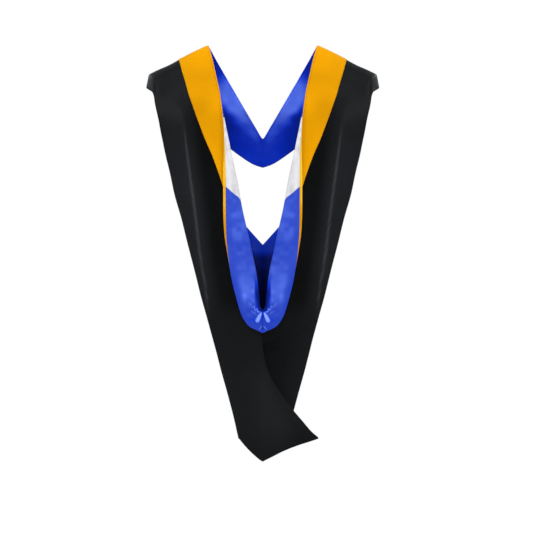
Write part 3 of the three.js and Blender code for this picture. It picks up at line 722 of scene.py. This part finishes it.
def flap_painted_light(point, lane, station, flops):
    """Clouded, with painted shade on the roll beside the gap, darker along the centre seam, and painted
    highlights on the gathers.
    """
    x, z = point[..., 0], point[..., 2]
    level = -z / HOOD_LENGTH
    clouds = 0.07 * soft_noise(x, z, 0.03, 21) + 0.06 * soft_noise(x, z, 0.012, 22)
    edge = follow(FLAP_PAINTED_LIGHT, "edge", level)
    middle = follow(FLAP_PAINTED_LIGHT, "middle", level) + clouds
    tone = mix(edge, middle, ramp(lane, EDGE - 0.04, EDGE - 0.45))

    roll = roll_point(np.minimum(station, MOUTH_END), flops)
    past_roll = np.where(lane > ROLLED, np.hypot(x - roll[..., 0], z - roll[..., 2]), 0)
    painted_shade_width = mix(0.003, 0.0175, ramp(station, 0.57, 0.63))
    # Painted shade on the roll beside the gap
    tone = mix(tone, ROLL_SHADE_TONE, ramp(station, 0.54, 0.6) * ramp(past_roll, painted_shade_width, 0))
    tone = mix(tone, SEAM_TONE, ramp(x, 0.0016, 0.0004) * ramp(station, 0.6, 0.63))

    # Painted highlights where the satin rises into gathers
    rise = gathers(point)
    gathered = np.clip(mix(GATHER_HIGHLIGHT_TONE, HIGH_GATHER_HIGHLIGHT_TONE, rise), 0, 1) * (rise > 0.02)
    return np.maximum(tone, gathered * on_turned(lane))


def inside_painted_shade(point):
    """Painted shade: darker the deeper it lies in the bag."""
    level = -point[..., 2] / HOOD_LENGTH
    return mix(0.44, 0.17, ramp(level, 0.49, 0.515)) * mix(1, 0.25, ramp(level, 0.52, 0.6))


def blue_painted_shading(point, lane, station, flops):
    # Painted light and shade of the blue satin: the yoke's, the turned-out lining's and the bag's
    # inside
    back = np.where(lane > END, flap_painted_light(point, lane, station, flops), inside_painted_shade(point))
    return np.where(station < 0, yoke_painted_light(point, lane, station), back)


def grid_cells(station, lane):
    """Four corners for each cell of the grid. Behind the yoke's hem there is no inner layer."""
    rows, width = lane.shape
    index = np.arange(rows * width).reshape(rows, width)
    behind_hem = (station[:-1, :-1] < 0) & (lane[:-1, :-1] < FOLD)
    corners = index[:-1, :-1], index[:-1, 1:], index[1:, 1:], index[1:, :-1]
    return np.stack([corner[~behind_hem] for corner in corners], 1)


def border_edges(cells, count):
    """The edges that only one cell has, as their first and last points."""
    start, stop = cells.ravel(), np.roll(cells, -1, axis=1).ravel()
    alone = ~np.isin(start * count + stop, stop * count + start)
    return start[alone], stop[alone]


def rounded_rim(top, bottom, normal, start, stop):
    """A row of points beside the border, half a thickness further out, which rounds the rim."""
    middle = (top + bottom) / 2
    outward = np.zeros_like(middle)
    step = unit(np.cross(middle[stop] - middle[start], normal[start]))
    np.add.at(outward, start, step)
    np.add.at(outward, stop, step)
    half = np.linalg.norm(top - bottom, axis=-1, keepdims=True) / 2
    return middle + unit(outward) * half


def quad_area(corners):
    diagonals = corners[:, 2] - corners[:, 0], corners[:, 3] - corners[:, 1]
    return float(np.linalg.norm(np.cross(*diagonals), axis=-1).sum() / 2)


def cloth_mesh(name, corners, quads, uv, tone):
    mesh = bpy.data.meshes.new(name)
    mesh.from_pydata(corners.tolist(), [], quads.tolist())
    mesh.polygons.foreach_set("use_smooth", np.ones(len(quads), bool))
    corner_vertex = np.empty(len(mesh.loops), int)
    mesh.loops.foreach_get("vertex_index", corner_vertex)
    mesh.uv_layers.new(name="cloth").data.foreach_set("uv", uv[corner_vertex].ravel())
    # The tone holds painted light and shade, and on the white satin its stains
    mesh.attributes.new("tone", "FLOAT", "POINT").data.foreach_set("value", tone)
    return mesh


def cloth_object(name, side, station, lane, low, high, tone_of, satin=False):
    """A closed sheet of cloth on the strip, with its flat width and length and its area.

    low and high are how far its two faces lie from the middle surface, and side is -1 for the half
    that flops over, else 1.
    """
    flops = side < 0
    point = strip_point(station, lane, flops)
    point = point + along(normals_of(point), cloth_relief(point, lane, station))
    if satin:
        point = point - along(normals_of(point), satin_relief(point, lane))
    normal = normals_of(point)
    tone = np.broadcast_to(tone_of(point, lane, station, flops), lane.shape).ravel()
    point = rounded_corners(point, lane, station)

    # Only the keel and what lies beside it may cross the centre plane
    faces = []
    own_side = (station < KEEL_START) | (lane < SEAM)
    for offset in (high, low):
        face = point + along(normal, np.broadcast_to(offset, lane.shape))
        face[..., 0] = np.where(own_side, np.maximum(face[..., 0], SEAM_GAP / 2), face[..., 0])
        faces.append(face.reshape(-1, 3))
    top, bottom = faces

    count = lane.size
    cells = grid_cells(station, lane)
    start, stop = border_edges(cells, count)
    on_rim = np.unique(start)
    rim = rounded_rim(top, bottom, normal.reshape(-1, 3), start, stop)[on_rim]
    rim_of = np.full(count, -1)
    rim_of[on_rim] = 2 * count + np.arange(len(on_rim))

    corners = np.concatenate([top, bottom, rim])
    corners[:, 0] *= side
    quads = np.concatenate([
        cells,
        cells[:, ::-1] + count,
        np.stack([stop, start, rim_of[start], rim_of[stop]], 1),
        np.stack([rim_of[stop], rim_of[start], start + count, stop + count], 1),
    ])
    if flops:
        quads = quads[:, ::-1]
    used, quads = np.unique(quads, return_inverse=True)

    across, down = arc_lengths(point, 1), arc_lengths(point, 0)
    mean_down = np.broadcast_to(down.mean(axis=1, keepdims=True), down.shape)
    uv = np.stack([across, mean_down], -1).reshape(-1, 2)
    uv = np.concatenate([uv, uv, uv[on_rim]])[used]
    tone = np.concatenate([tone, tone, tone[on_rim]])[used]
    mesh = cloth_mesh(name, corners[used], quads.reshape(-1, 4), uv, tone)
    piece = bpy.data.objects.new(name, mesh)
    bpy.context.collection.objects.link(piece)

    area = quad_area(((top + bottom) / 2)[cells])
    width = float(across[:, -1].max())
    length = float(max(down[-1].max(), area / across[:, -1].max()))
    return piece, (width, length), area


def grid(stations, lane_line):
    """A station and a lane for each point of the grid."""
    station, lane = np.meshgrid(stations, lane_line, indexing="ij")
    return station.astype(float), lane.astype(float)


YOKE_CROWDING = 1.4  # of the yoke's rows towards the shoulder line
MOUTH_CROWDING = 1.6  # of the back lining's rows towards the end of the mouth
NARROW_START = 0.57  # from here the mouth narrows fast, and the rows are finer
YOKE_ROWS = -np.linspace(1, 0, 56, endpoint=False) ** YOKE_CROWDING
SHOULDER_ROWS = np.linspace(0, CHEVRON_TOP, 40)
BACK_ROWS = np.concatenate([
    np.linspace(CHEVRON_TOP, NARROW_START, 80),
    np.linspace(NARROW_START, MOUTH_END, 41)[1:],
])
TAIL_ROWS = np.linspace(MOUTH_END, TAIL_END, 81)[1:]
RING_ROWS = np.concatenate([YOKE_ROWS, SHOULDER_ROWS, BACK_ROWS[1:]])


def shell(name, side):
    station, lane = grid(np.concatenate([RING_ROWS, TAIL_ROWS]), lanes(INNER, END))
    return cloth_object(name, side, station, lane, SHELL_FACE, SHELL_TOP, black_painted_shading)


def velvet(name, side):
    station, lane = grid(np.minimum(RING_ROWS, MOUTH_END - VELVET_CUT), lanes(SEAM, LIP))
    low = mix(SHELL_TOP + PLY_GAP, SHELL_FACE, np.clip((lane - END) * 2, 0, 1))
    drawn_in = mix(1, 0.38, ramp(station, 0.46, 0.56) + ramp(-station, 0.05, 0.25))
    lane = np.where(lane > ROLLED, ROLLED + (lane - ROLLED) * drawn_in, lane)
    return cloth_object(name, side, station, lane, low, low + VELVET_THICKNESS, gold_painted_shading)


LINING_LOW, LINING_HIGH = -LINING_GAP - LINING_THICKNESS, -LINING_GAP


def front_lining(name, side):
    rows = np.concatenate([YOKE_ROWS, SHOULDER_ROWS])
    rows[-1] -= SEAM_GAP / HOOD_LENGTH
    station, lane = grid(rows, lanes(INNER, EDGE))
    return cloth_object(name, side, station, lane, LINING_LOW, LINING_HIGH, blue_painted_shading, True)


def chevron_border(lane):
    """The station of the chevron's lower edge, which slopes evenly across the roll and into the bag."""
    levels = CHEVRON_INSIDE, CHEVRON_SEAM, CHEVRON_ROLL, CHEVRON_EDGE
    return np.interp(lane, (FOLD, SEAM, END, EDGE), levels)


def chevron(name, side):
    share, lane = grid(np.linspace(0, 1, 46), lanes(INNER, EDGE))
    station = mix(CHEVRON_TOP, chevron_border(lane), share)
    return cloth_object(name, side, station, lane, LINING_LOW, LINING_HIGH, white_tone, True)


def back_lining(name, side):
    share, lane = grid(1 - np.linspace(1, 0, 150) ** MOUTH_CROWDING, lanes(INNER, EDGE))
    station = mix(chevron_border(lane) + SEAM_GAP / HOOD_LENGTH, MOUTH_END, share)
    return cloth_object(name, side, station, lane, LINING_LOW, LINING_HIGH, blue_painted_shading, True)


# Materials

WAVE_PERIOD = 0.314  # of a wave texture at scale 1
# Sockets of a Mix node: its share, its two numbers, its two colours, and what comes out
MIX_SHARE, MIX_NUMBER_A, MIX_NUMBER_B, MIX_COLOR_A, MIX_COLOR_B = 0, 2, 3, 6, 7
MIXED_NUMBER, MIXED_COLOR = 0, 2


class Shader:
    """A node material, with short names for what its recipes use."""

    def __init__(self, name):
        self.material = bpy.data.materials.new(name)
        self.material.use_nodes = True
        self.tree = self.material.node_tree
        self.surface = self.tree.nodes["Principled BSDF"]

    def node(self, kind, **values):
        """A new node, with its properties and the values of its sockets."""
        node = self.tree.nodes.new(kind)
        for key, value in values.items():
            if hasattr(node, key):
                setattr(node, key, value)
            else:
                node.inputs[key.replace("_", " ").title()].default_value = value
        return node

    def link(self, output, target):
        self.tree.links.new(output, target)

    def set(self, **values):
        """Values on the shader's own sockets."""
        for key, value in values.items():
            self.surface.inputs[key.replace("_", " ")].default_value = value

    def noise(self, scale, detail, roughness=0.5):
        place = self.node("ShaderNodeTexCoord")
        noise = self.node("ShaderNodeTexNoise", scale=scale, detail=detail, roughness=roughness)
        self.link(place.outputs["Object"], noise.inputs["Vector"])
        return noise.outputs["Fac"]

    def threads(self, spacing, direction):
        """Parallel threads on the cloth's own coordinates, a spacing apart."""
        place = self.node("ShaderNodeTexCoord")
        wave = self.node("ShaderNodeTexWave", bands_direction=direction, wave_profile="SIN")
        wave.inputs["Scale"].default_value = WAVE_PERIOD / spacing
        wave.inputs["Distortion"].default_value = 0.6
        self.link(place.outputs["UV"], wave.inputs["Vector"])
        return wave.outputs["Fac"]

    def colors(self, factor, *stops):
        """A factor from 0 to 1 as a colour between stops."""
        ramp_node = self.node("ShaderNodeValToRGB")
        elements = ramp_node.color_ramp.elements
        while len(elements) < len(stops):
            elements.new(0.5)
        for element, (position, color) in zip(elements, stops):
            element.position = position
            element.color = (*color, 1)
        self.link(factor, ramp_node.inputs["Fac"])
        return ramp_node.outputs["Color"]

    def mixed(self, a, b, share=0.5):
        mix_node = self.node("ShaderNodeMix", data_type="FLOAT")
        mix_node.inputs[MIX_SHARE].default_value = share
        self.link(a, mix_node.inputs[MIX_NUMBER_A])
        self.link(b, mix_node.inputs[MIX_NUMBER_B])
        return mix_node.outputs[MIXED_NUMBER]

    def toned(self, cloud, cloud_share, *stops):
        """The colour at the tone that the mesh carries, made uneven by a cloud. The tone is painted
        light and shade on the black, gold and blue cloths, and stains on the white.
        """
        tone = self.node("ShaderNodeAttribute", attribute_name="tone")
        uneven = self.node("ShaderNodeMapRange")
        uneven.inputs["To Min"].default_value = -cloud_share
        uneven.inputs["To Max"].default_value = cloud_share
        total = self.node("ShaderNodeMath", operation="ADD")
        self.link(cloud, uneven.inputs["Value"])
        self.link(tone.outputs["Fac"], total.inputs[0])
        self.link(uneven.outputs["Result"], total.inputs[1])
        self.link(self.colors(total.outputs[0], *stops), self.surface.inputs["Base Color"])

    def bump(self, height, distance, strength, under=None):
        bump = self.node("ShaderNodeBump", distance=distance, strength=strength)
        self.link(height, bump.inputs["Height"])
        if under is not None:
            self.link(under, bump.inputs["Normal"])
        return bump.outputs["Normal"]


def black_cloth():
    shader = Shader("black_polyester")
    shader.set(Roughness=0.45, Specular_IOR_Level=0.035)
    shader.toned(
        shader.noise(9.0, 4.0), 0.08,
        (0.0, (0.001, 0.0011, 0.0012)),
        (0.3, (0.0053, 0.0061, 0.0071)),
        (0.45, (0.008, 0.0092, 0.0106)),
        (1.0, (0.042, 0.045, 0.052)),
    )
    weave = shader.mixed(shader.threads(0.0007, "X"), shader.threads(0.0007, "Y"))
    normal = shader.bump(weave, 0.00008, 0.6)
    normal = shader.bump(shader.noise(60.0, 3.0), 0.0006, 0.3, under=normal)
    shader.link(normal, shader.surface.inputs["Normal"])
    return shader.material


def gold_velvet():
    shader = Shader("gold_velvet")
    shader.set(Roughness=0.95, Sheen_Weight=0.12, Sheen_Roughness=0.35, Specular_IOR_Level=0.03)
    shader.surface.inputs["Sheen Tint"].default_value = (1.0, 0.7, 0.2, 1)
    nap = shader.mixed(shader.noise(16.0, 4.0), shader.noise(900.0, 2.0), 0.35)
    shader.toned(
        nap, 0.12,
        (0.0, (0.3, 0.11, 0.0002)),
        (0.5, (0.445, 0.192, 0.0002)),
        (0.75, (0.56, 0.24, 0.0003)),
        (1.0, (0.74, 0.42, 0.02)),
    )
    normal = shader.bump(shader.noise(1400.0, 2.0), 0.0004, 0.5)
    shader.link(normal, shader.surface.inputs["Normal"])
    return shader.material


def satin(name, roughness, *stops):
    shader = Shader(name)
    shader.set(Roughness=roughness, Specular_IOR_Level=0.045)
    shader.toned(shader.noise(30.0, 3.0, 0.55), 0.06, *stops)
    normal = shader.bump(shader.threads(0.0005, "DIAGONAL"), 0.00004, 0.5)
    normal = shader.bump(shader.noise(110.0, 3.0), 0.0008, 0.35, under=normal)
    shader.link(normal, shader.surface.inputs["Normal"])
    return shader.material


BLACK = black_cloth()
GOLD = gold_velvet()
BLUE = satin(
    "blue_satin", 0.4,
    (0.0, (0.0, 0.0, 0.002)),
    (0.15, (0.0003, 0.004, 0.075)),
    (0.3, (0.0008, 0.014, 0.28)),
    (0.42, (0.0025, 0.026, 0.43)),
    (0.5, (0.0155, 0.042, 0.37)),
    (0.6, (0.025, 0.056, 0.4)),
    (0.7, (0.048, 0.095, 0.5)),
    (0.82, (0.1, 0.18, 0.86)),
    (1.0, (0.19, 0.29, 1.0)),
)
# The satin of the yoke and the shoulder faces away from the light, so this lit copy of the blue satin
# gives it brighter, purer colours at the same tones: painted light.
BLUE_YOKE_LIT_COPY = satin(
    "blue_satin_yoke_painted_light", 0.4,
    (0.0, (0.0, 0.0, 0.002)),
    (0.3, (0.0006, 0.012, 0.25)),
    (0.42, (0.001, 0.023, 0.48)),
    (0.6, (0.022, 0.07, 0.66)),
    (0.75, (0.066, 0.135, 0.76)),
    (0.85, (0.1, 0.185, 0.86)),
    (1.0, (0.2, 0.32, 1.0)),
)
WHITE = satin(
    "white_satin", 0.45,
    (0.0, (0.36, 0.36, 0.38)),
    (1.0, (0.58, 0.58, 0.6)),
)

# Each cloth piece: how it is made, its material, its slot and the CAD nodes that it stands for
PIECES = [
    ("shell", shell, BLACK, "black_cloth", ("yoke", "wing", "tail", "back_panel")),
    ("velvet", velvet, GOLD, "gold_velvet", ("velvet_band",)),
    ("front_lining", front_lining, BLUE_YOKE_LIT_COPY, "blue_satin", ("yoke_lining", "shoulder_lining")),
    ("chevron", chevron, WHITE, "white_satin", ("chevron",)),
    ("back_lining", back_lining, BLUE, "blue_satin", ("back_lining",)),
]
for name, make, material, slot, nodes in PIECES:
    for side_name, side in (("left", -1), ("right", 1)):
        piece, flat, area = make(f"{name}_{side_name}_cloth", side)
        piece.data.materials.append(material)
        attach(piece, "root")
        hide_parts(*[f"{node}_{side_name}" for node in nodes])


# Floor, light and camera

FLOOR_DROP = 1.45
FLOOR_SIZE = 5.0
CAMERA_DISTANCE = 20.0
SENSOR_WIDTH = 36.0
PHOTO_WIDTH_M = 1.354  # of the photo's frame, at the hood
VIEW_CENTRE = (0.0095, 0.0, -0.5613)
LIGHT_DISTANCE = 3.0
WHITE_COLOR = (1, 1, 1, 1)
# Height of a direction, from straight down at 0 to straight up at 1, and the room's brightness there
SKY_BANDS = ((0.0, 0.1), (0.45, 0.12), (0.478, 1.0), (0.522, 1.0), (0.55, 0.3), (1.0, 0.6))
# Lights: azimuth, elevation, size, power and how far below the neck they aim
LIGHTS = {
    "side_left": (-62, 36, 0.9, 58, 0.3),
    "side_right": (62, 36, 0.9, 58, 0.3),
    "low_left": (-56, 3, 0.8, 10, 0.55),
    "low_right": (56, 3, 0.8, 10, 0.55),
    "low_middle": (0, -8, 0.9, 16, 0.3),
    "high": (0, 62, 1.4, 30, 0.3),
    "front_left": (-140, 25, 1.2, 24, 0.4),
    "front_right": (140, 25, 1.2, 24, 0.4),
}


def add_floor():
    half = FLOOR_SIZE / 2
    mesh = bpy.data.meshes.new("floor")
    corners = [(-half, -half, 0), (half, -half, 0), (half, half, 0), (-half, half, 0)]
    mesh.from_pydata(corners, [], [(0, 1, 2, 3)])
    floor = bpy.data.objects.new("floor", mesh)
    floor.location.z = -FLOOR_DROP
    bpy.context.collection.objects.link(floor)
    shader = Shader("pale_floor")
    shader.set(Roughness=0.9)
    shader.surface.inputs["Base Color"].default_value = (0.8, 0.8, 0.8, 1)
    mesh.materials.append(shader.material)


def add_light(name, azimuth, elevation, size, power, aim_drop):
    """A soft round light. Azimuth counts from the camera's side, towards picture right."""
    data = bpy.data.lights.new(name, "AREA")
    data.shape = "DISK"
    data.size = size
    data.energy = power
    light = bpy.data.objects.new(name, data)
    turn, lift = math.radians(azimuth), math.radians(elevation)
    away = Vector((math.sin(turn) * math.cos(lift), -math.cos(turn) * math.cos(lift), math.sin(lift)))
    light.location = LIGHT_DISTANCE * away + Vector((0, 0, -aim_drop))
    light.rotation_euler = away.to_track_quat("Z", "Y").to_euler()
    bpy.context.collection.objects.link(light)


def add_world():
    """Bright at eye level and dimmer above and below, behind a plain white backdrop."""
    world = bpy.data.worlds.new("studio")
    world.use_nodes = True
    tree = world.node_tree
    place = tree.nodes.new("ShaderNodeTexCoord")
    axes = tree.nodes.new("ShaderNodeSeparateXYZ")
    height = tree.nodes.new("ShaderNodeMapRange")
    height.inputs["From Min"].default_value = -1.0
    bands = tree.nodes.new("ShaderNodeValToRGB")
    elements = bands.color_ramp.elements
    while len(elements) < len(SKY_BANDS):
        elements.new(0.5)
    for element, (position, level) in zip(elements, SKY_BANDS):
        element.position = position
        element.color = (level, level, level, 1)
    tree.links.new(place.outputs["Generated"], axes.inputs["Vector"])
    tree.links.new(axes.outputs["Z"], height.inputs["Value"])
    tree.links.new(height.outputs["Result"], bands.inputs["Fac"])
    backdrop = tree.nodes.new("ShaderNodeMix")
    backdrop.data_type = "RGBA"
    backdrop.inputs[MIX_COLOR_B].default_value = WHITE_COLOR
    seen = tree.nodes.new("ShaderNodeLightPath").outputs["Is Camera Ray"]
    tree.links.new(seen, backdrop.inputs[MIX_SHARE])
    tree.links.new(bands.outputs["Color"], backdrop.inputs[MIX_COLOR_A])
    tree.links.new(backdrop.outputs[MIXED_COLOR], tree.nodes["Background"].inputs["Color"])
    bpy.context.scene.world = world


def add_camera():
    data = bpy.data.cameras.new("camera")
    data.sensor_width = SENSOR_WIDTH
    data.lens = SENSOR_WIDTH * CAMERA_DISTANCE / PHOTO_WIDTH_M
    data.clip_end = 100.0
    camera = bpy.data.objects.new("camera", data)
    x, y, z = VIEW_CENTRE
    camera.location = (x, y - CAMERA_DISTANCE, z)
    camera.rotation_euler = (math.pi / 2, 0, 0)
    bpy.context.collection.objects.link(camera)
    bpy.context.scene.camera = camera


add_floor()
add_world()
for light_name, values in LIGHTS.items():
    add_light(light_name, *values)
add_camera()
bpy.context.scene.view_settings.view_transform = "Standard"
